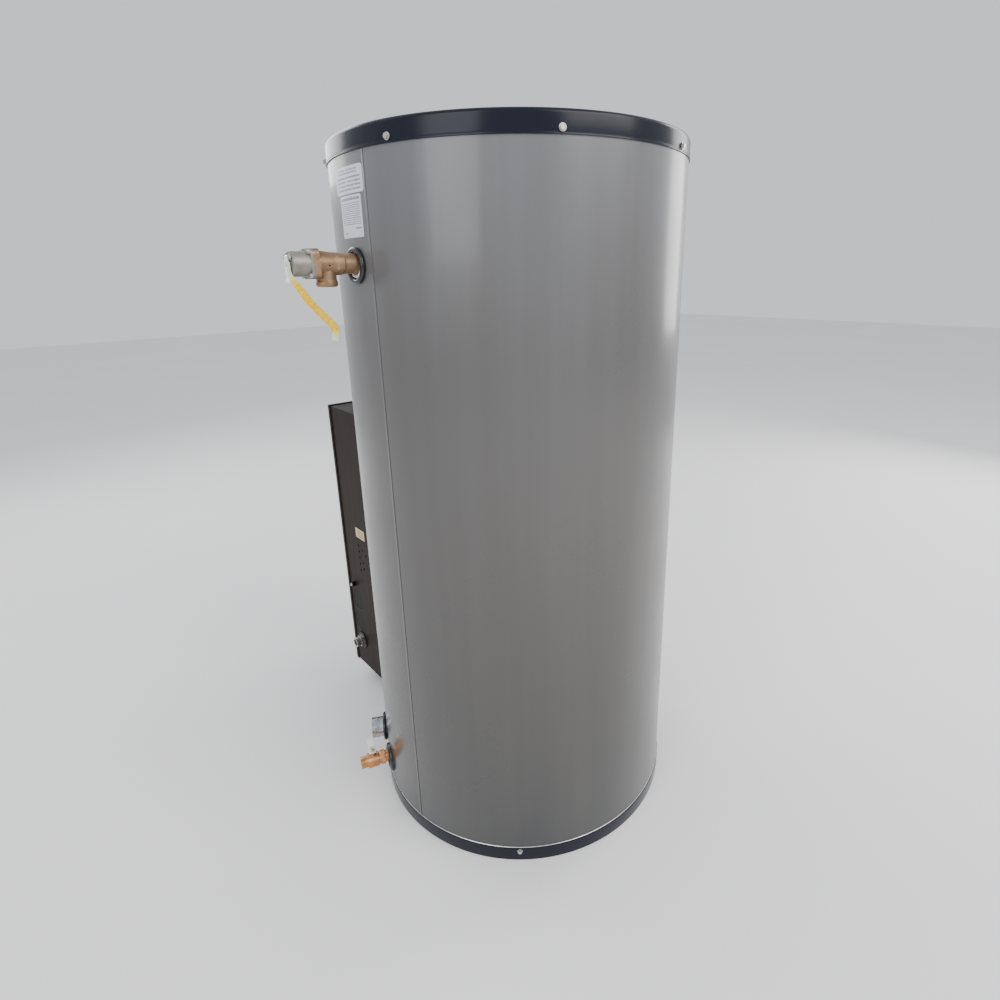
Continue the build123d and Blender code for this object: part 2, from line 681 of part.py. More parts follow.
hinge_zs = (150.0, cab_zc, 775.0)
with BuildPart() as hinge_fixed:
    for z in hinge_zs:
        # leaf on the side of the box, two knuckles and the pin
        with Locations((-193.0, -565.0, z)):
            Box(2.0, 20.0, 60)
        for dz in (-21.0, 21.0):
            with Locations((-195.5, -575.4, z + dz)):
                Box(7.0, 2.6, 17)
            with BuildSketch(Plane.XY.offset(z + dz - 8.5)):
                with Locations((hinge_x, hinge_y)):
                    Circle(3.5)
            extrude(amount=17)
        with BuildSketch(Plane.XY.offset(z - 31)):
            with Locations((hinge_x, hinge_y)):
                Circle(1.5)
        extrude(amount=62)
save("hinge_fixed", hinge_fixed)

with BuildPart() as hinge_moving:
    for z in hinge_zs:
        with Locations((-195.5, -585.6, z)):
            Box(2.0, 9.0, 60)
        with Locations((-197.2, -581.0, z)):
            Box(5.4, 2.4, 23)
        with BuildSketch(Plane.XY.offset(z - 11.5)):
            with Locations((hinge_x, hinge_y)):
                Circle(3.5)
        extrude(amount=23)
        with BuildSketch(Plane.XY.offset(z - 11.6)):
            with Locations((hinge_x, hinge_y)):
                Circle(1.56)
        extrude(amount=23.2, mode=Mode.SUBTRACT)
save("hinge_moving", hinge_moving)

with BuildPart() as door_knob:
    # knurled quarter-turn fastener near the door's free edge
    with BuildSketch(facing_y(182, door_front - 0.2, 752)):
        Circle(8.0)
    extrude(amount=2.0)
    with BuildSketch(facing_y(182, door_front - 2.1, 752)):
        Circle(6.5)
        with PolarLocations(6.6, 16):
            Circle(0.55, mode=Mode.SUBTRACT)
    extrude(amount=15)
    with BuildSketch(facing_y(182, door_front + 2.6, 752)):
        Circle(3.0)
    extrude(amount=4)
    with Locations((182, door_front - 17.1, 752)):
        Box(9.0, 1.6, 1.4, mode=Mode.SUBTRACT)
save("door_knob", door_knob)

with BuildPart() as side_knob:
    # black turn knob on the cabinet's side, on a bright screw
    with BuildSketch(facing_x(cab_w / 2 + 0.3, ko_y - 12, 330)):
        Circle(7.5)
        with PolarLocations(7.6, 14):
            Circle(0.8, mode=Mode.SUBTRACT)
    extrude(amount=11)
    with BuildSketch(facing_x(cab_w / 2 + 0.4, ko_y - 12, 330)):
        Circle(3.2)
    extrude(amount=-6)
save("side_knob", side_knob)

with BuildPart() as side_knob_screw:
    with BuildSketch(facing_x(cab_w / 2 + 11.3, ko_y - 12, 330)):
        Circle(4.4)
    extrude(amount=3.2)
    fillet(side_knob_screw.faces().filter_by(Axis.X).sort_by(Axis.X)[-1].edges(), radius=1.4)
    with Locations((cab_w / 2 + 14.5, ko_y - 12, 330)):
        Box(1.6, 7.0, 1.2, mode=Mode.SUBTRACT)
save("side_knob_screw", side_knob_screw)

with BuildPart() as conduit_plate:
    # octagonal reducing washer over the lowest opening
    with BuildSketch(facing_x(cab_w / 2, ko_y, conn_z)):
        RegularPolygon(radius=27.5, side_count=8, rotation=22.5)
        Circle(14.3, mode=Mode.SUBTRACT)
    extrude(amount=3.0)
save("conduit_plate", conduit_plate)

with BuildPart() as conduit_connector:
    with BuildSketch(facing_x(cab_w / 2 - 12, ko_y, conn_z)):
        Circle(14.0)
    extrude(amount=38)
    with BuildSketch(facing_x(cab_w / 2 + 3.0, ko_y, conn_z)):
        RegularPolygon(radius=17.5, side_count=6)
    extrude(amount=9)
    with BuildSketch(facing_x(cab_w / 2 - 13, ko_y, conn_z)):
        Circle(10.5)
    extrude(amount=45, mode=Mode.SUBTRACT)
save("conduit_connector", conduit_connector)

with BuildPart() as conduit_locknut:
    with BuildSketch(facing_x(cab_w / 2 - cab_t, ko_y, conn_z)):
        RegularPolygon(radius=20, side_count=8)
        Circle(14.1, mode=Mode.SUBTRACT)
    extrude(amount=-3.5)
save("conduit_locknut", conduit_locknut)

# ---------------------------------------------------------------- inside the cabinet
with BuildPart() as mounting_plate:
    with Locations((-128, -401, 465)):
        Box(116, 2, 680)
    with Locations((-189.3, -416, 465)):
        Box(2.0, 32, 680)
    with Locations((-187.6, -401, 465)):
        Box(5.4, 2, 680)
save("mounting_plate", mounting_plate)


def contactor(zc):
    """Definite-purpose contactor with a guided armature in its front."""
    with BuildPart() as body:
        with Locations((-128, -403.5, zc)):
            Box(78, 3, 96)
        with Locations((-128, -432.5, zc)):
            Box(70, 56, 74)
        with Locations((-128, -463, zc)):
            Box(46, 6, 46)
        for dx in (-22, 0, 22):
            for dz in (-29, 29):
                with Locations((-128 + dx, -455, zc + dz)):
                    Box(13, 14, 13)
        with Locations((-128, -454, zc)):
            Box(24.4, 28, 14.4, mode=Mode.SUBTRACT)
    return body


for i, zc in enumerate((700.0, 580.0), start=1):
    body = contactor(zc)
    save(f"contactor_{i}", body)
    with BuildPart() as armature:
        with Locations((-128, -462, zc)):
            Box(24, 20, 14)
    save(f"armature_{i}", armature)

with BuildPart() as terminal_block:
    # three-pole fused terminal block
    with Locations((-128, -411, 445)):
        Box(84, 18, 90)
    for dx in (-27, 0, 27):
        with Locations((-128 + dx, -430, 445)):
            Box(3.2, 22, 86)
        for dz in (-31, 31):
            with Locations((-128 + dx - 11, -424, 445 + dz)):
                Box(11, 10, 14)
        with BuildSketch(Plane.XY.offset(445 - 27)):
            with Locations((-128 + dx - 11, -425.5)):
                Circle(5.6)
        extrude(amount=54)
save("terminal_block", terminal_block)

with BuildPart() as ground_lug:
    with Locations((-128, -404, 345)):
        Box(16, 4, 30)
    with Locations((-128, -411, 352)):
        Box(14, 12, 16)
    with BuildSketch(Plane.XY.offset(343)):
        with Locations((-128, -411)):
            Circle(3.6)
    extrude(amount=20, mode=Mode.SUBTRACT)
    with BuildSketch(facing_y(-128, -416.8, 352)):
        Circle(3.4)
    extrude(amount=5)
save("ground_lug", ground_lug)

for i, z in enumerate(element_z, start=1):
    with BuildPart() as element:
        # flange, three hairpin loops and the terminal insulator
        with BuildSketch(facing_y(0, -333.2, z)):
            RectangleRounded(84, 84, 8)
            with GridLocations(64, 64, 2, 2):
                Circle(4.1, mode=Mode.SUBTRACT)
        extrude(amount=9)
        for dx in (-14, 0, 14):
            with BuildLine() as loop:
                FilletPolyline((dx, -333.5, z + 12), (dx, 60, z + 12), (dx, 60, z - 12), (dx, -333.5, z - 12),
                               radius=11.9)
            with BuildSketch(Plane(origin=loop.line @ 0, z_dir=loop.line % 0)):
                Circle(4.0)
            sweep(path=loop.line)
        with BuildSketch(facing_y(0, -342.1, z)):
            Circle(21)
        extrude(amount=8)
        with BuildSketch(facing_y(0, -350, z)):
            with Locations((-10, 0), (10, 0)):
                RegularPolygon(radius=4.2, side_count=6)
        extrude(amount=6)
    save(f"element_{i}", element)

with BuildPart() as element_gaskets:
    for z in element_z:
        with BuildSketch(facing_y(0, -331.1, z)):
            RectangleRounded(82, 82, 8)
            Circle(26.5, mode=Mode.SUBTRACT)
            with GridLocations(64, 64, 2, 2):
                Circle(4.3, mode=Mode.SUBTRACT)
        extrude(amount=2.0)
save("element_gaskets", element_gaskets)

with BuildPart() as element_bolts:
    for z in element_z:
        with BuildSketch(facing_y(0, -342.3, z)):
            with GridLocations(64, 64, 2, 2):
                RegularPolygon(radius=7.0, side_count=6)
        extrude(amount=5.5)
        with BuildSketch(facing_y(0, -342.4, z)):
            with GridLocations(64, 64, 2, 2):
                Circle(3.9)
        extrude(amount=-24)
save("element_bolts", element_bolts)

with BuildPart() as thermostat_body:
    with BuildSketch(radial(therm_angle, 318.4, therm_z)):
        RectangleRounded(42, 72, 3)
    extrude(amount=20)
    with BuildSketch(radial(therm_angle, 330, therm_z + 12)):
        Circle(3.6)
    extrude(amount=9, mode=Mode.SUBTRACT)
save("thermostat_body", thermostat_body)

with BuildPart() as thermostat_dial:
    with BuildSketch(radial(therm_angle, 338.7, therm_z + 12)):
        Circle(13)
        with PolarLocations(13.1, 24):
            Circle(0.7, mode=Mode.SUBTRACT)
    extrude(amount=5)
    with BuildSketch(radial(therm_angle, 338.8, therm_z + 12)):
        Circle(3.5)
    extrude(amount=-8)
    with BuildSketch(radial(therm_angle, 343.6, therm_z + 12)):
        Rectangle(3, 18)
    extrude(amount=2.6)
save("thermostat_dial", thermostat_dial)

with BuildPart() as limit_body:
    with BuildSketch(radial(therm_angle, 318.4, limit_z)):
        RectangleRounded(42, 52, 3)
    extrude(amount=20)
    with BuildSketch(radial(therm_angle, 330, limit_z + 8)):
        Circle(4.6)
    extrude(amount=9, mode=Mode.SUBTRACT)
save("limit_body", limit_body)

with BuildPart() as reset_button:
    with BuildSketch(radial(therm_angle, 333.2, limit_z + 8)):
        Circle(4.5)
    extrude(amount=9.5)
save("reset_button", reset_button)

# insulated wires between the contactors and the element terminals, held at both ends
wire_r = 2.0
with BuildPart() as wires:
    for zc, dx, ze, tx in ((700.0, -22, 670.0, -10), (700.0, 22, 450.0, -10), (580.0, 22, 230.0, -10)):
        x0 = -128 + dx
        pts = [(x0, -455, zc - 37.0), (x0, -455, zc - 52), (x0 + 26, -438, zc - 62), (tx - 40, -392, ze + 4),
               (tx, -374, ze), (tx, -356.1, ze)]
        with BuildLine() as run:
            FilletPolyline(*pts, radius=6)
        with BuildSketch(Plane(origin=run.line @ 0, z_dir=run.line % 0)):
            Circle(wire_r)
        sweep(path=run.line)
save("wires", wires)

# ---------------------------------------------------------------- labels


def jacket_label(angle0, angle1, z0, z1):
    """Thin sheet wrapped on the jacket."""
    with BuildPart() as sheet:
        with BuildSketch(section(angle0)):
            with Locations((jacket_r + 0.25, (z0 + z1) / 2)):
                Rectangle(0.4, z1 - z0)
        revolve(axis=Axis.Z, revolution_arc=angle1 - angle0)
    return sheet


label_upper = jacket_label(-9.4, 7.1, 1357.5, 1400.5)
save("label_upper", label_upper)
label_lower = jacket_label(-7.2, 5.4, 1286.5, 1355.0)
save("label_lower", label_lower)
with BuildPart() as label_panel:
    with BuildSketch(facing_x(cab_w / 2 + 0.05, -476.5, 515)):
        Rectangle(53, 30)
    extrude(amount=0.4)
save("label_panel", label_panel)
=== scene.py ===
import bpy, bmesh, math, json
from mathutils import Vector, Matrix, noise


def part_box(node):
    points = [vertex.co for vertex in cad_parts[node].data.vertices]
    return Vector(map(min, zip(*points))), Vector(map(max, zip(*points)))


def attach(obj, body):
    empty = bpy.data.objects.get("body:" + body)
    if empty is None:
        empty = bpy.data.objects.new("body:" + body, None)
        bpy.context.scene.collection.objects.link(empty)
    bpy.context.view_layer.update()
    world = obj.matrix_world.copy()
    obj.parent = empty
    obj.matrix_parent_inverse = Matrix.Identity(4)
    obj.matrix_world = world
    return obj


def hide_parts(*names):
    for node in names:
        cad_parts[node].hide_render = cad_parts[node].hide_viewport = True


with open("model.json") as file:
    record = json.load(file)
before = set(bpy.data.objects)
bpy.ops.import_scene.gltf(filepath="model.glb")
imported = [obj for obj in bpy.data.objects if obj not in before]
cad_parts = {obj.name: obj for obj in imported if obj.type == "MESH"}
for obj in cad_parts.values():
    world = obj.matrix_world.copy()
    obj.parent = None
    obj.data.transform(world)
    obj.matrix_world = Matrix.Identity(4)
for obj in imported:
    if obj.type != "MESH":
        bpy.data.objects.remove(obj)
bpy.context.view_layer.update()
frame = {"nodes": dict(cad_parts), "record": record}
N = frame["nodes"]

# ---------------------------------------------------------------- camera, at the view's angle
cam_data = bpy.data.cameras.new("view_camera")
cam = bpy.data.objects.new("view_camera", cam_data)
bpy.context.scene.collection.objects.link(cam)
right = Vector((-0.750166, 0.661014, -0.017641))
up = Vector((-0.209494, -0.212276, 0.95449))
fwd = Vector((-0.627187, -0.719722, -0.297721))
m = Matrix((right, up, -fwd)).transposed().to_4x4()
m.translation = Vector((0.868961, 1.039265, 1.225395))
cam.matrix_world = m
cam_data.sensor_width = 36.0
cam_data.lens = 21.7204
cam_data.shift_x = -0.028234
cam_data.shift_y = -0.040599
cam_data.clip_start = 0.02
cam_data.clip_end = 60.0
bpy.context.scene.camera = cam

# ---------------------------------------------------------------- helpers


def link(ob):
    bpy.context.scene.collection.objects.link(ob)
    return ob


def tree(name):
    m = bpy.data.materials.new(name)
    m.use_nodes = True
    nt = m.node_tree
    b = nt.nodes["Principled BSDF"]
    return m, nt, b


def node(nt, kind, **kw):
    n = nt.nodes.new(kind)
    for k, v in kw.items():
        if k in n.inputs:
            n.inputs[k].default_value = v
        else:
            setattr(n, k, v)
    return n


def coords(nt, scale=(1, 1, 1), uv=False):
    tc = node(nt, "ShaderNodeTexCoord")
    mp = node(nt, "ShaderNodeMapping")
    mp.inputs["Scale"].default_value = scale
    nt.links.new(tc.outputs["UV" if uv else "Object"], mp.inputs["Vector"])
    return mp.outputs["Vector"]


def noise_tex(nt, vec, scale, detail=4.0, rough=0.55):
    n = node(nt, "ShaderNodeTexNoise")
    n.inputs["Scale"].default_value = scale
    n.inputs["Detail"].default_value = detail
    n.inputs["Roughness"].default_value = rough
    nt.links.new(vec, n.inputs["Vector"])
    return n.outputs["Fac"]


def ramp(nt, fac, stops):
    r = node(nt, "ShaderNodeValToRGB")
    cr = r.color_ramp
    while len(cr.elements) < len(stops):
        cr.elements.new(0.5)
    for e, (p, c) in zip(cr.elements, stops):
        e.position = p
        e.color = (*c, 1) if len(c) == 3 else c
    nt.links.new(fac, r.inputs["Fac"])
    return r.outputs["Color"]


def map_range(nt, fac, a, b, c, d):
    r = node(nt, "ShaderNodeMapRange")
    for i, v in enumerate((a, b, c, d)):
        r.inputs[i + 1].default_value = v
    nt.links.new(fac, r.inputs[0])
    return r.outputs[0]


def math_node(nt, op, a, b=None, clamp=False):
    n = node(nt, "ShaderNodeMath", operation=op, use_clamp=clamp)
    for i, v in enumerate((a, b)):
        if v is None:
            continue
        if isinstance(v, (int, float)):
            n.inputs[i].default_value = v
        else:
            nt.links.new(v, n.inputs[i])
    return n.outputs[0]


def mix_col(nt, fac, a, b, mode="MIX"):
    n = node(nt, "ShaderNodeMix", data_type="RGBA", blend_type=mode)
    for sock, v in ((n.inputs[0], fac), (n.inputs[6], a), (n.inputs[7], b)):
        if isinstance(v, (int, float)):
            sock.default_value = v
        elif isinstance(v, tuple):
            sock.default_value = (*v, 1)
        else:
            nt.links.new(v, sock)
    return n.outputs[2]


def bumps(nt, bsdf, layers):
    """layers: (height socket, distance in metres, strength)"""
    last = None
    for h, dist, strength in layers:
        b = node(nt, "ShaderNodeBump")
        b.inputs["Distance"].default_value = dist
        b.inputs["Strength"].default_value = strength
        nt.links.new(h, b.inputs["Height"])
        if last is not None:
            nt.links.new(last, b.inputs["Normal"])
        last = b.outputs["Normal"]
    nt.links.new(last, bsdf.inputs["Normal"])


def setp(b, **kw):
    names = {"rough": "Roughness", "metal": "Metallic", "coat": "Coat Weight", "coat_rough": "Coat Roughness",
             "spec": "Specular IOR Level", "ior": "IOR", "trans": "Transmission Weight",
             "sss": "Subsurface Weight", "sheen": "Sheen Weight", "aniso": "Anisotropic"}
    for k, v in kw.items():
        b.inputs[names[k]].default_value = v


def simple(name, lo, hi, rough, rough_var=0.06, scale=60.0, bump=0.00003, bump_scale=400.0, stretch=(1, 1, 1), **kw):
    """Two-tone procedural finish with uneven gloss and a fine surface."""
    m, nt, b = tree(name)
    v = coords(nt, stretch)
    big = noise_tex(nt, v, scale, 5.0)
    fine = noise_tex(nt, v, bump_scale, 3.0)
    nt.links.new(ramp(nt, big, [(0.3, lo), (0.7, hi)]), b.inputs["Base Color"])
    nt.links.new(map_range(nt, big, 0.25, 0.75, rough - rough_var, rough + rough_var), b.inputs["Roughness"])
    bumps(nt, b, [(fine, bump, 0.6)])
    setp(b, **kw)
    return m


# ---------------------------------------------------------------- finishes
M = {}
# jacket: glossy warm grey enamel over rolled sheet, with painted shade darkening it towards the bottom, painted light
# making it lighter and bluer towards the top, vertical streaks of painted reflection, and a little soiled low down
m, nt, b = tree("grey_enamel")
v = coords(nt)
streak = noise_tex(nt, coords(nt, (11, 11, 0.5)), 1.0, 5.0)
cloud = noise_tex(nt, v, 3.5, 5.0)
fine = noise_tex(nt, v, 900.0, 2.0)
orange = noise_tex(nt, v, 260.0, 2.0)
sep = node(nt, "ShaderNodeSeparateXYZ")
nt.links.new(v, sep.inputs[0])
# painted light: height plus vertical streaks set the colour, painted shade low down, painted light at the top, and the
# streaks as painted reflections
tone = math_node(nt, "ADD", sep.outputs["Z"], map_range(nt, streak, 0.25, 0.75, -0.16, 0.16))
col = ramp(nt, math_node(nt, "DIVIDE", tone, 1.5), [(0.0, (0.030, 0.031, 0.033)), (0.16, (0.050, 0.048, 0.045)),
           (0.45, (0.074, 0.069, 0.065)), (0.72, (0.092, 0.089, 0.088)), (1.0, (0.128, 0.131, 0.138))])
dust = math_node(nt, "MULTIPLY", map_range(nt, sep.outputs["Z"], 0.03, 0.45, 0.5, 0.0), cloud)
col = mix_col(nt, dust, col, (0.060, 0.058, 0.055))
nt.links.new(col, b.inputs["Base Color"])
nt.links.new(map_range(nt, cloud, 0.3, 0.7, 0.24, 0.36), b.inputs["Roughness"])
bumps(nt, b, [(orange, 0.00002, 0.3), (fine, 0.000006, 0.4)])
setp(b, coat=0.35, coat_rough=0.12, spec=0.45)
M["jacket_paint"] = m

# cap and pan: deep black gloss enamel with fine dust
m, nt, b = tree("black_enamel")
v = coords(nt)
cloud = noise_tex(nt, v, 6.0, 6.0)
dustn = noise_tex(nt, v, 420.0, 4.0, 0.7)
orange = noise_tex(nt, v, 240.0, 2.0)
nt.links.new(ramp(nt, dustn, [(0.0, (0.004, 0.006, 0.012)), (0.62, (0.006, 0.008, 0.015)), (0.80, (0.020, 0.023, 0.030))]), b.inputs["Base Color"])
nt.links.new(map_range(nt, cloud, 0.3, 0.7, 0.16, 0.26), b.inputs["Roughness"])
bumps(nt, b, [(orange, 0.00002, 0.4)])
setp(b, spec=0.22)
M["cap_paint"] = m

# cabinet: black enamel, browner, with vertical rub marks
m, nt, b = tree("cabinet_enamel")
v = coords(nt)
streak = noise_tex(nt, coords(nt, (60, 60, 5)), 1.0, 5.0)
dustn = noise_tex(nt, v, 500.0, 4.0, 0.7)
cloud = noise_tex(nt, v, 5.0, 4.0)
c1 = ramp(nt, streak, [(0.3, (0.012, 0.008, 0.006)), (0.75, (0.024, 0.017, 0.013))])
c2 = ramp(nt, dustn, [(0.62, (0, 0, 0)), (0.85, (0.35, 0.35, 0.35))])
nt.links.new(mix_col(nt, c2, c1, (0.07, 0.062, 0.055)), b.inputs["Base Color"])
nt.links.new(map_range(nt, streak, 0.25, 0.75, 0.46, 0.62), b.inputs["Roughness"])
bumps(nt, b, [(noise_tex(nt, v, 300.0, 2.0), 0.00003, 0.4)])
setp(b, spec=0.12)
M["cabinet_paint"] = m

# cast bronze: dull brown-grey skin, warmer and brighter where handling has rubbed it
m, nt, b = tree("cast_bronze")
v = coords(nt)
big = noise_tex(nt, v, 45.0, 6.0, 0.6)
grain = noise_tex(nt, v, 1100.0, 3.0, 0.6)
c = ramp(nt, big, [(0.25, (0.20, 0.120, 0.070)), (0.5, (0.30, 0.185, 0.108)), (0.8, (0.42, 0.275, 0.165))])
nt.links.new(mix_col(nt, map_range(nt, grain, 0.3, 0.55, 0.3, 0.0), c, (0.13, 0.08, 0.05)), b.inputs["Base Color"])
nt.links.new(map_range(nt, big, 0.2, 0.8, 0.50, 0.38), b.inputs["Roughness"])
bumps(nt, b, [(grain, 0.00006, 0.5)])
setp(b, metal=0.7, spec=0.4)
M["bronze"] = m

# ball valve: cleaner, redder brass with a light cast grain
m, nt, b = tree("drain_brass")
v = coords(nt)
big = noise_tex(nt, v, 70.0, 6.0, 0.6)
c = ramp(nt, big, [(0.25, (0.30, 0.130, 0.050)), (0.5, (0.52, 0.255, 0.105)), (0.8, (0.72, 0.42, 0.21))])
nt.links.new(c, b.inputs["Base Color"])
nt.links.new(map_range(nt, big, 0.2, 0.8, 0.42, 0.28), b.inputs["Roughness"])
bumps(nt, b, [(noise_tex(nt, v, 900.0, 3.0), 0.00003, 0.5)])
setp(b, metal=0.85)
M["drain_brass"] = m

# satin die-cast bonnet
m, nt, b = tree("satin_cast")
v = coords(nt)
big = noise_tex(nt, v, 60.0, 5.0)
c = ramp(nt, big, [(0.3, (0.19, 0.175, 0.15)), (0.7, (0.30, 0.285, 0.25))])
nt.links.new(c, b.inputs["Base Color"])
nt.links.new(map_range(nt, big, 0.2, 0.8, 0.52, 0.44), b.inputs["Roughness"])
bumps(nt, b, [(noise_tex(nt, v, 700.0, 3.0), 0.00003, 0.5)])
setp(b, metal=0.55, spec=0.4)
M["satin_cast"] = m

M["yellow_brass"] = simple("machined_brass", (0.50, 0.30, 0.13), (0.72, 0.48, 0.24), 0.28, 0.07, 90.0, 0.00002, 900.0, metal=0.95)
M["zinc"] = simple("zinc_plate", (0.42, 0.41, 0.38), (0.62, 0.62, 0.60), 0.32, 0.08, 70.0, 0.00003, 800.0, metal=0.9)
M["spring_steel"] = simple("drawn_steel", (0.25, 0.25, 0.25), (0.42, 0.42, 0.43), 0.34, 0.06, 200.0, metal=0.95)
M["element_metal"] = simple("nickel_alloy", (0.30, 0.29, 0.27), (0.46, 0.45, 0.43), 0.38, 0.08, 90.0, metal=0.9)
M["copper"] = simple("drawn_copper", (0.42, 0.17, 0.09), (0.65, 0.32, 0.20), 0.34, 0.08, 120.0, metal=0.95)
M["anode_alloy"] = simple("cast_light_alloy", (0.42, 0.42, 0.42), (0.58, 0.58, 0.58), 0.5, 0.06, 60.0, 0.0001, 300.0, metal=0.8)
M["vessel_steel"] = simple("enamelled_vessel", (0.035, 0.045, 0.07), (0.06, 0.075, 0.10), 0.42, 0.1, 12.0, 0.0002, 120.0, spec=0.5)
M["foam"] = simple("foam_insulation", (0.70, 0.66, 0.54), (0.86, 0.83, 0.74), 0.85, 0.05, 40.0, 0.0009, 350.0)
M["black_plastic"] = simple("black_plastic", (0.009, 0.009, 0.011), (0.016, 0.016, 0.019), 0.26, 0.06, 80.0, 0.00004, 500.0, spec=0.5)
M["foam_white"] = simple("foam_white", (0.72, 0.71, 0.68), (0.90, 0.90, 0.88), 0.8, 0.05, 200.0, 0.0004, 700.0)
M["bare_edge"] = simple("bare_edge", (0.62, 0.62, 0.62), (0.80, 0.80, 0.80), 0.30, 0.06, 90.0, metal=0.8)
M["ptfe"] = simple("white_ptfe", (0.80, 0.80, 0.77), (0.88, 0.88, 0.86), 0.45, 0.05, 120.0)
M["knob_grey"] = simple("grey_knob", (0.42, 0.41, 0.39), (0.55, 0.54, 0.52), 0.42, 0.06, 150.0)
M["plastic_pipe"] = simple("pale_plastic", (0.62, 0.65, 0.70), (0.72, 0.75, 0.80), 0.40, 0.05, 90.0)
M["relay_plastic"] = simple("relay_plastic", (0.018, 0.018, 0.022), (0.032, 0.032, 0.036), 0.42, 0.06, 90.0, 0.00005, 600.0)
M["armature_plastic"] = simple("orange_plastic", (0.50, 0.16, 0.02), (0.66, 0.25, 0.04), 0.40, 0.05, 120.0)
M["block_plastic"] = simple("block_plastic", (0.05, 0.05, 0.056), (0.085, 0.085, 0.09), 0.48, 0.06, 90.0, 0.00005, 600.0)
M["wire_cover"] = simple("wire_cover", (0.30, 0.014, 0.010), (0.42, 0.03, 0.02), 0.38, 0.05, 80.0)
M["sensor_plastic"] = simple("sensor_plastic", (0.035, 0.035, 0.04), (0.06, 0.06, 0.065), 0.46, 0.06, 90.0)
M["dial_plastic"] = simple("dial_plastic", (0.66, 0.65, 0.60), (0.78, 0.77, 0.72), 0.40, 0.05, 150.0)
M["button_red"] = simple("red_button", (0.42, 0.012, 0.010), (0.56, 0.02, 0.018), 0.22, 0.04, 200.0)
M["gasket_rubber"] = simple("gasket_rubber", (0.022, 0.018, 0.018), (0.040, 0.034, 0.034), 0.7, 0.06, 200.0)


def printed(name, paper, ink, rows, gaps, rough=0.38, tilt=0.0):
    """Coated label with blank bars in place of lettering, drawn from the piece's own UVs."""
    m, nt, b = tree(name)
    tc = node(nt, "ShaderNodeTexCoord")
    sep = node(nt, "ShaderNodeSeparateXYZ")
    nt.links.new(tc.outputs["UV"], sep.inputs[0])
    u, w = sep.outputs["X"], sep.outputs["Y"]
    total = None
    for (r0, r1, count, u0, u1, fill) in rows:
        inside = math_node(nt, "MULTIPLY", math_node(nt, "GREATER_THAN", w, r0), math_node(nt, "LESS_THAN", w, r1))
        side = math_node(nt, "MULTIPLY", math_node(nt, "GREATER_THAN", u, u0), math_node(nt, "LESS_THAN", u, u1))
        t = math_node(nt, "MULTIPLY", math_node(nt, "DIVIDE", math_node(nt, "SUBTRACT", w, r0), r1 - r0), count)
        line = math_node(nt, "LESS_THAN", math_node(nt, "ABSOLUTE", math_node(nt, "SUBTRACT", math_node(nt, "FRACT", t), 0.5)), fill / 2)
        row = math_node(nt, "FLOOR", t)
        comb = node(nt, "ShaderNodeCombineXYZ")
        nt.links.new(math_node(nt, "MULTIPLY", u, gaps), comb.inputs[0])
        nt.links.new(math_node(nt, "MULTIPLY", row, 7.31), comb.inputs[1])
        words = noise_tex(nt, comb.outputs[0], 1.0, 2.0)
        part = math_node(nt, "MULTIPLY", math_node(nt, "MULTIPLY", inside, side), math_node(nt, "MULTIPLY", line, math_node(nt, "GREATER_THAN", words, 0.40)))
        total = part if total is None else math_node(nt, "MAXIMUM", total, part)
    v = coords(nt)
    soil = noise_tex(nt, v, 60.0, 4.0)
    base = ramp(nt, soil, [(0.25, tuple(x * 0.9 for x in paper)), (0.7, paper)])
    nt.links.new(mix_col(nt, math_node(nt, "MULTIPLY", total, 0.8), base, ink), b.inputs["Base Color"])
    nt.links.new(map_range(nt, soil, 0.2, 0.8, rough - 0.06, rough + 0.08), b.inputs["Roughness"])
    bumps(nt, b, [(noise_tex(nt, v, 300.0, 3.0), 0.00003, 0.5)])
    return m


M["label_film_a"] = printed("label_film_a", (0.62, 0.61, 0.67), (0.12, 0.12, 0.15),
                            [(0.70, 0.92, 2, 0.16, 0.84, 0.50), (0.08, 0.66, 4, 0.07, 0.93, 0.46)], 30.0)
M["label_film"] = M["label_film_a"]
M["label_film_b"] = printed("label_film_b", (0.62, 0.62, 0.67), (0.12, 0.12, 0.14),
                            [(0.86, 0.97, 1, 0.06, 0.94, 0.6), (0.30, 0.84, 11, 0.06, 0.94, 0.45), (0.16, 0.28, 1, 0.08, 0.30, 0.35), (0.06, 0.16, 1, 0.72, 0.90, 0.35)], 34.0)
M["label_cream"] = printed("label_cream", (0.62, 0.47, 0.27), (0.13, 0.09, 0.05),
                           [(0.14, 0.86, 4, 0.16, 0.84, 0.55)], 14.0)

# yellow film tag: paler and greener at both ends, rows of blank bars along its length
m, nt, b = tree("yellow_film")
tc = node(nt, "ShaderNodeTexCoord")
sep = node(nt, "ShaderNodeSeparateXYZ")
nt.links.new(tc.outputs["UV"], sep.inputs[0])
u, w = sep.outputs["X"], sep.outputs["Y"]
v = coords(nt)
mott = noise_tex(nt, v, 220.0, 4.0)
yel = ramp(nt, mott, [(0.3, (0.62, 0.36, 0.008)), (0.7, (0.86, 0.56, 0.02))])
comb = node(nt, "ShaderNodeCombineXYZ")
nt.links.new(math_node(nt, "MULTIPLY", w, 60.0), comb.inputs[0])
nt.links.new(math_node(nt, "MULTIPLY", math_node(nt, "FLOOR", math_node(nt, "MULTIPLY", u, 4.0)), 5.7), comb.inputs[1])
words = noise_tex(nt, comb.outputs[0], 1.0, 2.0)
line = math_node(nt, "LESS_THAN", math_node(nt, "ABSOLUTE", math_node(nt, "SUBTRACT", math_node(nt, "FRACT", math_node(nt, "MULTIPLY", u, 4.0)), 0.5)), 0.20)
mid = math_node(nt, "MULTIPLY", math_node(nt, "GREATER_THAN", w, 0.12), math_node(nt, "LESS_THAN", w, 0.74))
ink = math_node(nt, "MULTIPLY", math_node(nt, "MULTIPLY", line, mid), math_node(nt, "GREATER_THAN", words, 0.45))
ends = ramp(nt, w, [(0.0, (1, 1, 1)), (0.06, (0.75, 0.75, 0.75)), (0.11, (0, 0, 0)), (0.76, (0, 0, 0)), (0.88, (0.9, 0.9, 0.9))])
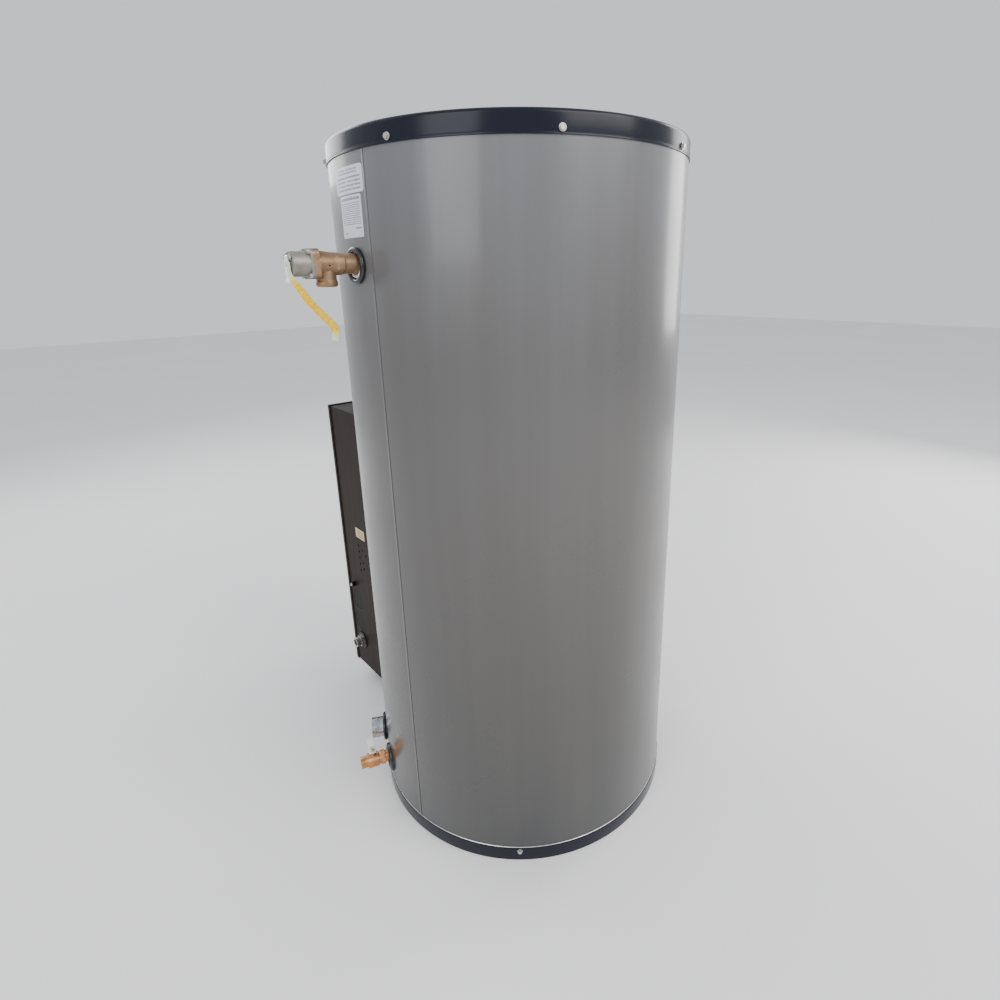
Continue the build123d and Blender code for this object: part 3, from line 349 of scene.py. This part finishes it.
yel = mix_col(nt, math_node(nt, "MULTIPLY", ink, 0.45), yel, (0.30, 0.17, 0.01))
pale = mix_col(nt, mott, (0.42, 0.58, 0.40), (0.62, 0.72, 0.50))
nt.links.new(mix_col(nt, ends, yel, pale), b.inputs["Base Color"])
nt.links.new(map_range(nt, mott, 0.2, 0.8, 0.22, 0.34), b.inputs["Roughness"])
bumps(nt, b, [(noise_tex(nt, v, 120.0, 3.0), 0.0003, 0.5)])
setp(b, sss=0.06, spec=0.35)
b.inputs["Subsurface Radius"].default_value = (0.004, 0.003, 0.001)
b.inputs["Subsurface Scale"].default_value = 1.0
M["yellow_film"] = m

# ---------------------------------------------------------------- CAD nodes take their finishes
slot_of = {s["node"]: s["material_slot"] for s in frame["record"]["subparts"]}


def paint(ob, mat):
    if len(ob.material_slots) == 0:
        ob.data.materials.append(mat)
    for s in ob.material_slots:
        s.material = mat


M["plate_white"] = simple("white_zinc", (0.74, 0.75, 0.72), (0.88, 0.89, 0.86), 0.38, 0.06, 90.0, metal=0.1)
M["disc_grey"] = simple("knockout_grey", (0.016, 0.017, 0.014), (0.026, 0.027, 0.022), 0.62, 0.05, 60.0, spec=0.1)
M["dull_black"] = simple("dull_black", (0.005, 0.005, 0.006), (0.010, 0.010, 0.012), 0.4, 0.06, 90.0, spec=0.2)
M["pipe_zinc"] = simple("pipe_zinc", (0.30, 0.32, 0.33), (0.56, 0.58, 0.58), 0.26, 0.06, 90.0, 0.00003, 500.0, (1, 1, 1), metal=0.9)
special = {"tp_bonnet": "satin_cast", "tp_lever": "plate_white", "knockout_discs": "disc_grey", "drain_body": "drain_brass",
           "drain_handle": "plate_white", "conduit_plate": "dull_black", "side_knob": "dull_black", "inlet_nipple": "pipe_zinc"}
for name, ob in N.items():
    paint(ob, M[special.get(name, slot_of[name])])


def piece(name, verts, faces, mat, body, replaces=(), smooth=True, uvs=None):
    me = bpy.data.meshes.new(name)
    me.from_pydata(verts, [], faces)
    me.validate()
    me.update()
    if uvs is not None:
        layer = me.uv_layers.new(name="UVMap")
        for lp in me.loops:
            layer.data[lp.index].uv = uvs[lp.vertex_index]
    ob = link(bpy.data.objects.new(name, me))
    me.materials.append(mat)
    if smooth:
        for p in me.polygons:
            p.use_smooth = True
    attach(ob, body)
    if replaces:
        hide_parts(*replaces)
    return ob


def apply_mods(ob):
    bpy.context.view_layer.update()
    dg = bpy.context.evaluated_depsgraph_get()
    me = bpy.data.meshes.new_from_object(ob.evaluated_get(dg))
    old = ob.data
    ob.modifiers.clear()
    ob.data = me
    me.name = ob.name
    if old.users == 0:
        bpy.data.meshes.remove(old)


def sharp_smooth(ob, angle=35.0):
    me = ob.data
    for p in me.polygons:
        p.use_smooth = True
    bm = bmesh.new()
    bm.from_mesh(me)
    lim = math.radians(angle)
    for e in bm.edges:
        if len(e.link_faces) == 2 and e.calc_face_angle(0.0) > lim:
            e.smooth = False
        elif len(e.link_faces) != 2:
            e.smooth = False
    bm.to_mesh(me)
    bm.free()


def revolve(name, profile, steps, mat, body, replaces=(), close=True):
    """Closed profile [(radius, height)] turned about the tank's axis, in metres."""
    verts, faces = [], []
    k = len(profile)
    for i in range(steps):
        a = 2 * math.pi * i / steps
        for r, z in profile:
            verts.append((r * math.cos(a), r * math.sin(a), z))
    for i in range(steps):
        j = (i + 1) % steps
        for p in range(k if close else k - 1):
            q = (p + 1) % k
            faces.append((i * k + p, j * k + p, j * k + q, i * k + q))
    ob = piece(name, verts, faces, mat, body, replaces)
    bm = bmesh.new()
    bm.from_mesh(ob.data)
    bmesh.ops.remove_doubles(bm, verts=bm.verts, dist=1e-6)
    bmesh.ops.recalc_face_normals(bm, faces=bm.faces)
    bm.to_mesh(ob.data)
    bm.free()
    return ob


def arc(cx, cz, r, a0, a1, n):
    return [(cx + r * math.cos(math.radians(a0 + (a1 - a0) * i / n)), cz + r * math.sin(math.radians(a0 + (a1 - a0) * i / n))) for i in range(n + 1)]


# ---------------------------------------------------------------- jacket sheet, with its lap and slight waves
(jx0, jy0, jz0), (jx1, jy1, jz1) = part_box("jacket")
R = 0.3556
SEAM = math.radians(8.2)
LAP = math.radians(0.9)


def jacket_radius(a, z):
    r = R
    # soft vertical rolling waves and shallow oil-canning of the thin sheet
    p = Vector((math.cos(a) * 2.6, math.sin(a) * 2.6, z * 0.9))
    r += 0.00030 * noise.noise(p) + 0.00010 * noise.noise(Vector((math.cos(a) * 9, math.sin(a) * 9, z * 1.5 + 7)))
    d = (SEAM - a) % (2 * math.pi)
    if d < LAP:
        r += 0.0006 * min(1.0, (LAP - d) / (LAP * 0.5))
    elif d > 2 * math.pi - 0.0022:
        r -= 0.0006
    edge = min(1.0, max(0.0, (z - 0.03) / 0.05))
    edge2 = min(1.0, max(0.0, (1.42 - z) / 0.05))
    return R + (r - R) * edge * edge2 if LAP <= d <= 2 * math.pi - 0.0022 else r


holes = []
for nm, ang in (("tp_escutcheon", 0.0), ("drain_escutcheon", -17.5), ("inlet_escutcheon", -29.0)):
    lo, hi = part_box(nm)
    holes.append((math.radians(ang), (lo[2] + hi[2]) / 2, (hi[2] - lo[2]) / 2 * 0.86))
windows = []
for z, w, h in ((0.230, 0.124, 0.124), (0.450, 0.124, 0.124), (0.670, 0.124, 0.124), (0.340, 0.064, 0.092), (0.560, 0.064, 0.072)):
    windows.append((z, w, h))
angs = {round(math.radians(i), 6) for i in range(0, 360)}
for a0, _, _ in holes:
    angs |= {round((a0 + math.radians(k * 0.35)) % (2 * math.pi), 6) for k in range(-28, 29)}
angs |= {round((SEAM + d) % (2 * math.pi), 6) for d in (-LAP, -LAP * 0.5, -0.0004, 0.0004, 0.0020, 0.0028)}
for z, w, h in windows:
    t = math.asin(w / 2 / R)
    angs |= {round((-math.pi / 2 - t) % (2 * math.pi), 6), round((-math.pi / 2 + t) % (2 * math.pi), 6)}
angs = sorted(angs)
keep = [angs[0]]
for a in angs[1:]:
    if a - keep[-1] > 0.0005:
        keep.append(a)
angs = keep
zs = {round(0.0125 + i * (1.448 - 0.0125) / 120, 5) for i in range(121)}
for _, zc, rr in holes:
    zs |= {round(zc + k * 0.0022, 5) for k in range(-19, 20)}
for z, w, h in windows:
    zs |= {round(z - h / 2, 5), round(z + h / 2, 5)}
zs |= {0.0326, 0.0334, 0.0350}
zs = sorted(zs)
keep = [zs[0]]
for z in zs[1:]:
    if z - keep[-1] > 0.0004:
        keep.append(z)
zs = keep
verts = [(jacket_radius(a, z) * math.cos(a), jacket_radius(a, z) * math.sin(a), z) for z in zs for a in angs]
faces = []
na = len(angs)
for i in range(len(zs) - 1):
    zc = (zs[i] + zs[i + 1]) / 2
    for j in range(na):
        k = (j + 1) % na
        a2 = angs[k] if k else angs[0] + 2 * math.pi
        ac = (angs[j] + a2) / 2
        skip = False
        for a0, z0, rr in holes:
            da = (ac - a0 + math.pi) % (2 * math.pi) - math.pi
            if math.hypot(da * R, zc - z0) < rr:
                skip = True
        dx = R * math.sin(((ac + math.pi / 2) + math.pi) % (2 * math.pi) - math.pi)
        if math.sin(ac) < 0:
            for z, w, h in windows:
                if abs(dx) < w / 2 and abs(zc - z) < h / 2:
                    skip = True
        if not skip:
            faces.append((i * na + j, i * na + k, (i + 1) * na + k, (i + 1) * na + j))
jacket = piece("jacket_sheet", verts, faces, M["jacket_paint"], "tank", ("jacket",))
mod = jacket.modifiers.new("thick", "SOLIDIFY")
mod.thickness = 0.0009
mod.offset = -1
apply_mods(jacket)
sharp_smooth(jacket, 40)

# ---------------------------------------------------------------- cap and pan, with rolled edges and a bead
ct = 1.4575
cr = 0.3578
cap_profile = ([(0.3563, 1.4208), (0.3578, 1.4208)] + arc(cr - 0.0004, 1.4216, 0.0004, -40, 0, 2)
               + [(cr - 0.0002, 1.4226)] + arc(cr - 0.0009, 1.4244, 0.0009, -60, 60, 6)
               + [(cr - 0.0004, 1.4262), (cr - 0.0004, 1.4500)] + arc(cr - 0.0079, 1.4500, 0.0075, 0, 90, 10)
               + [(0.3478, ct), (0.3465, ct - 0.0004), (0.3440, ct - 0.0031), (0.3425, ct - 0.0035), (0.2600, ct - 0.0035), (0.0, ct - 0.0035)]
               + [(0.0, ct - 0.0049), (0.3431, ct - 0.0049), (0.3471, ct - 0.0016)] + [(0.3510, ct - 0.0015)]
               + [(0.3563, 1.4515)])
cap = revolve("cap_sheet", cap_profile, 360, M["cap_paint"], "tank", ("top_cap",))
cut = link(bpy.data.objects.new("cutter", bpy.data.meshes.new("cutter")))
bm = bmesh.new()
bmesh.ops.create_cone(bm, cap_ends=True, segments=64, radius1=0.0252, radius2=0.0252, depth=0.05,
                      matrix=Matrix.Translation((-0.150, 0.040, 1.453)))
bm.to_mesh(cut.data)
bm.free()
mod = cap.modifiers.new("hole", "BOOLEAN")
mod.operation = "DIFFERENCE"
mod.object = cut
mod.solver = "EXACT"
apply_mods(cap)
bpy.data.objects.remove(cut)
sharp_smooth(cap, 30)

pan_profile = ([(0.0, 0.0), (cr - 0.0012, 0.0)] + arc(cr - 0.0012, 0.0012, 0.0012, -90, 0, 5)
               + [(cr, 0.0300)] + arc(cr - 0.0007, 0.0319, 0.0007, 0, 180, 8) + [(0.3564, 0.0015), (0.0, 0.0015)])
pan = revolve("pan_sheet", pan_profile, 360, M["cap_paint"], "tank", ("bottom_pan",))
sharp_smooth(pan, 30)

# ---------------------------------------------------------------- labels: thin film with rounded corners, following the jacket


def label(name, a0, a1, z0, z1, rc, mat, node_name):
    cols, rows = 40, 30
    w = math.radians(a1 - a0) * R
    h = z1 - z0
    ts = sorted({0.0, 1.0} | {rc / h * (1 - math.cos(math.pi / 2 * k / 6)) for k in range(7)}
                | {1 - rc / h * (1 - math.cos(math.pi / 2 * k / 6)) for k in range(7)} | {k / rows for k in range(3, rows - 2)})
    verts, uvs, faces = [], [], []
    for t in ts:
        d = min(t, 1 - t) * h
        inset = rc - math.sqrt(max(0.0, rc * rc - (rc - d) ** 2)) if d < rc else 0.0
        for c in range(cols + 1):
            x = inset + (w - 2 * inset) * c / cols
            a = math.radians(a0) + x / R
            rr = jacket_radius(a, z0 + t * h) + 0.00018
            verts.append((rr * math.cos(a), rr * math.sin(a), z0 + t * h))
            uvs.append((1 - x / w, t))
    k = cols + 1
    for i in range(len(ts) - 1):
        for c in range(cols):
            faces.append((i * k + c, i * k + c + 1, (i + 1) * k + c + 1, (i + 1) * k + c))
    ob = piece(name, verts, faces, M[mat], "tank", (node_name,), uvs=uvs)
    mod = ob.modifiers.new("t", "SOLIDIFY")
    mod.thickness = 0.0001
    mod.offset = -1
    apply_mods(ob)
    return ob


# small panel label on the cabinet's side, with its bars on the film's own UVs
(lx0, ly0, lz0), (lx1, ly1, lz1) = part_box("label_panel")
cols, rows = 16, 8
verts, uvs, faces = [], [], []
for i in range(rows + 1):
    for c in range(cols + 1):
        t, q = i / rows, c / cols
        verts.append((lx1 - 0.00004, ly0 + (ly1 - ly0) * q, lz0 + (lz1 - lz0) * t))
        uvs.append((q, t))
for i in range(rows):
    for c in range(cols):
        k = cols + 1
        faces.append((i * k + c, i * k + c + 1, (i + 1) * k + c + 1, (i + 1) * k + c))
panel = piece("panel_label", verts, faces, M["label_cream"], "tank", ("label_panel",), uvs=uvs)
mod = panel.modifiers.new("t", "SOLIDIFY")
mod.thickness = 0.0001
mod.offset = -1
apply_mods(panel)
label("notice_label", -9.4, 7.1, 1.3575, 1.4005, 0.005, "label_film_a", "label_upper")
label("data_label", -7.2, 5.4, 1.2865, 1.3550, 0.003, "label_film_b", "label_lower")

# ---------------------------------------------------------------- film tag: a loop at the lever, then a strip that twists as it falls
th = math.radians(21)
dd = Vector((-math.cos(th), math.sin(th), 0))
nn = Vector((math.sin(th), math.cos(th), 0))
O = Vector((0.4772, 0.0086, 0))
tag_path = [(-2.6, 1247.0, 3.1), (-2.6, 1239.0, 3.1), (-2.5, 1231.0, 3.2), (1.0, 1219.5, 4.2), (12.9, 1200.3, 6.1), (25.6, 1179.8, 6.3),
            (43.6, 1158.8, 6.4), (55.5, 1144.5, 6.4), (60.0, 1133.2, 6.4), (58.4, 1124.5, 6.3), (57.3, 1117.0, 6.2)]


def catmull(pts, per):
    out = []
    for i in range(len(pts) - 1):
        p0 = pts[max(i - 1, 0)]
        p1, p2 = pts[i], pts[i + 1]
        p3 = pts[min(i + 2, len(pts) - 1)]
        for k in range(per):
            t = k / per
            out.append(tuple(0.5 * ((2 * b_) + (-a_ + c_) * t + (2 * a_ - 5 * b_ + 4 * c_ - d_) * t * t + (-a_ + 3 * b_ - 3 * c_ + d_) * t ** 3)
                             for a_, b_, c_, d_ in zip(p0, p1, p2, p3)))
    out.append(pts[-1])
    return out


line = catmull(tag_path, 8)
across = 8
verts, uvs, faces = [], [], []
total = 0.0
lens = [0.0]
for i in range(1, len(line)):
    total += math.hypot(line[i][0] - line[i - 1][0], line[i][1] - line[i - 1][1])
    lens.append(total)
for i, (s_, z_, hw) in enumerate(line):
    a_, b_ = line[max(i - 1, 0)], line[min(i + 1, len(line) - 1)]
    t = Vector((b_[0] - a_[0], b_[1] - a_[1])).normalized()
    side = Vector((-t.y, t.x))
    f = lens[i] / total
    twist = math.radians(34 * (1 - f) ** 2 * math.cos(f * 3.0) - 16 * max(0, f - 0.75) / 0.25)
    for c in range(across + 1):
        w_ = (c / across * 2 - 1) * hw
        cup = 0.9 * (1 - (c / across * 2 - 1) ** 2) * (0.5 + 0.5 * math.cos(f * 9.0))
        ragged = 0.0
        if i == len(line) - 1:
            ragged = 0.8 * math.sin(c * 2.4)
        q = O + dd * ((s_ + side.x * w_ * math.cos(twist) + t.x * ragged) / 1000) \
            + nn * ((0.55 + w_ * math.sin(twist) * 0.55 + cup * 0.5) / 1000)
        verts.append((q.x, q.y, (z_ + side.y * w_ * math.cos(twist) + t.y * ragged) / 1000))
        uvs.append((c / across, 1 - f))
k = across + 1
for i in range(len(line) - 1):
    for c in range(across):
        faces.append((i * k + c, i * k + c + 1, (i + 1) * k + c + 1, (i + 1) * k + c))
tag = piece("film_tag", verts, faces, M["yellow_film"], "relief_lever", ("tp_tag",), uvs=uvs)
mod = tag.modifiers.new("t", "SOLIDIFY")
mod.thickness = 0.00035
mod.offset = 0
apply_mods(tag)

# ---------------------------------------------------------------- foam that shows between the relief valve's neck and the trim ring
verts, faces = [], []
rings, seg = 10, 72
for j in range(rings + 1):
    for i in range(seg):
        a = 2 * math.pi * i / seg
        zc = 1.2435 * (1 - j / rings) + 1.2400 * (j / rings)
        r_in, r_out = 0.0176, 0.0226
        r = r_in + (r_out - r_in) * j / rings
        low = max(0.0, -math.sin(a))
        prof = math.sin(math.pi * min(1, max(0, j / rings)))
        x = 0.3550 + 0.0018 * prof + 0.0050 * low * prof + 0.0012 * noise.noise(Vector((math.cos(a) * 5, math.sin(a) * 5, j * 0.7))) * prof
        verts.append((x, r * math.cos(a), zc + r * math.sin(a)))
for j in range(rings):
    for i in range(seg):
        k2 = (i + 1) % seg
        faces.append((j * seg + i, j * seg + k2, (j + 1) * seg + k2, (j + 1) * seg + i))
foam = piece("foam_fill", verts, faces, M["foam_white"], "tank")
mod = foam.modifiers.new("t", "SOLIDIFY")
mod.thickness = 0.004
mod.offset = -1 if foam.data.polygons[0].normal.x > 0 else 1
apply_mods(foam)

# ---------------------------------------------------------------- bare cut edge of the jacket above the pan
lip_profile = [(0.35605, 0.0327), (0.35660, 0.0326), (0.35660, 0.0334), (0.35600, 0.0341), (0.35565, 0.0341)]
lip = revolve("jacket_lip", lip_profile, 360, M["bare_edge"], "tank")
sharp_smooth(lip, 30)

# ---------------------------------------------------------------- softened edges on the castings and pressings


def softened(node_name, mat, body, width, segments=3, angle=28):
    src = N[node_name]
    ob = link(bpy.data.objects.new(node_name + "_fine", src.data.copy()))
    ob.data.materials.clear()
    ob.data.materials.append(M[mat])
    bm = bmesh.new()
    bm.from_mesh(ob.data)
    bmesh.ops.remove_doubles(bm, verts=bm.verts, dist=1e-6)
    bmesh.ops.dissolve_limit(bm, angle_limit=math.radians(0.6), verts=bm.verts, edges=bm.edges)
    bm.to_mesh(ob.data)
    bm.free()
    mod = ob.modifiers.new("b", "BEVEL")
    mod.width = width
    mod.segments = segments
    mod.limit_method = "ANGLE"
    mod.angle_limit = math.radians(angle)
    mod.harden_normals = False
    apply_mods(ob)
    for p in ob.data.polygons:
        p.use_smooth = True
    sharp_smooth(ob, 38)
    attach(ob, body)
    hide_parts(node_name)
    return ob


def cast(node_name, mat, body, voxel, relax, grain):
    """A casting: edges melted together by a fine remesh, with an uneven sand-cast skin."""
    src = N[node_name]
    ob = link(bpy.data.objects.new(node_name + "_cast", src.data.copy()))
    ob.data.materials.clear()
    ob.data.materials.append(M[mat])
    mod = ob.modifiers.new("r", "REMESH")
    mod.mode = "VOXEL"
    mod.voxel_size = voxel
    mod = ob.modifiers.new("s", "SMOOTH")
    mod.factor = 0.5
    mod.iterations = relax
    apply_mods(ob)
    me = ob.data
    places = [(v_.co.copy(), v_.normal.copy()) for v_ in me.vertices]
    moved = []
    for c_, n_ in places:
        moved.extend(c_ + n_ * (grain * (noise.noise(c_ * 160.0) + 0.5 * noise.noise(c_ * 420.0))))
    me.vertices.foreach_set("co", moved)
    me.update()
    for p in me.polygons:
        p.use_smooth = True
    if not me.materials:
        me.materials.append(M[mat])
    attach(ob, body)
    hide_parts(node_name)
    return ob


cast("tp_body", "bronze", "tank", 0.0006, 3, 0.00010)
cast("drain_body", "drain_brass", "tank", 0.0005, 1, 0.00003)
softened("tp_bonnet", "satin_cast", "tank", 0.0006)
softened("tp_lever", "plate_white", "relief_lever", 0.0005)
softened("drain_handle", "plate_white", "drain_stem", 0.0006)

# ---------------------------------------------------------------- stage and light
bm = bmesh.new()
bmesh.ops.create_grid(bm, x_segments=8, y_segments=8, size=14.0)
fl = bpy.data.meshes.new("floor")
bm.to_mesh(fl)
bm.free()
floor = link(bpy.data.objects.new("floor", fl))
floor.location = (0, 0, -0.0005)
fm, nt, b = tree("floor_pale")
fn = noise_tex(nt, coords(nt), 0.8, 3.0)
nt.links.new(ramp(nt, fn, [(0.3, (0.80, 0.80, 0.80)), (0.7, (0.83, 0.83, 0.83))]), b.inputs["Base Color"])
setp(b, rough=0.75, spec=0.2)
fl.materials.append(fm)

world = bpy.data.worlds.new("studio")
bpy.context.scene.world = world
world.use_nodes = True
bg = world.node_tree.nodes["Background"]
bg.inputs["Color"].default_value = (0.93, 0.95, 1.0, 1)
bg.inputs["Strength"].default_value = 0.9


def area(name, loc, target, sx, sy, power, color=(1, 1, 1)):
    l = bpy.data.lights.new(name, "AREA")
    l.shape = "RECTANGLE"
    l.size, l.size_y = sx, sy
    l.energy = power
    l.color = color
    o = link(bpy.data.objects.new(name, l))
    o.location = loc
    d = Vector(target) - Vector(loc)
    o.rotation_euler = d.to_track_quat("-Z", "Y").to_euler()
    return o


area("key", (-1.0, 4.2, 3.8), (0, 0, 0.9), 4.0, 3.2, 230, (1.0, 0.98, 0.95))
area("side", (3.6, 1.2, 2.6), (0, 0, 0.9), 2.2, 2.8, 70, (0.96, 0.98, 1.0))
area("rim", (-3.4, 0.4, 2.0), (0, 0, 0.9), 1.4, 2.6, 60, (1.0, 0.99, 0.97))
area("back", (0.5, -3.2, 2.6), (0, -0.3, 0.7), 2.4, 1.8, 60)
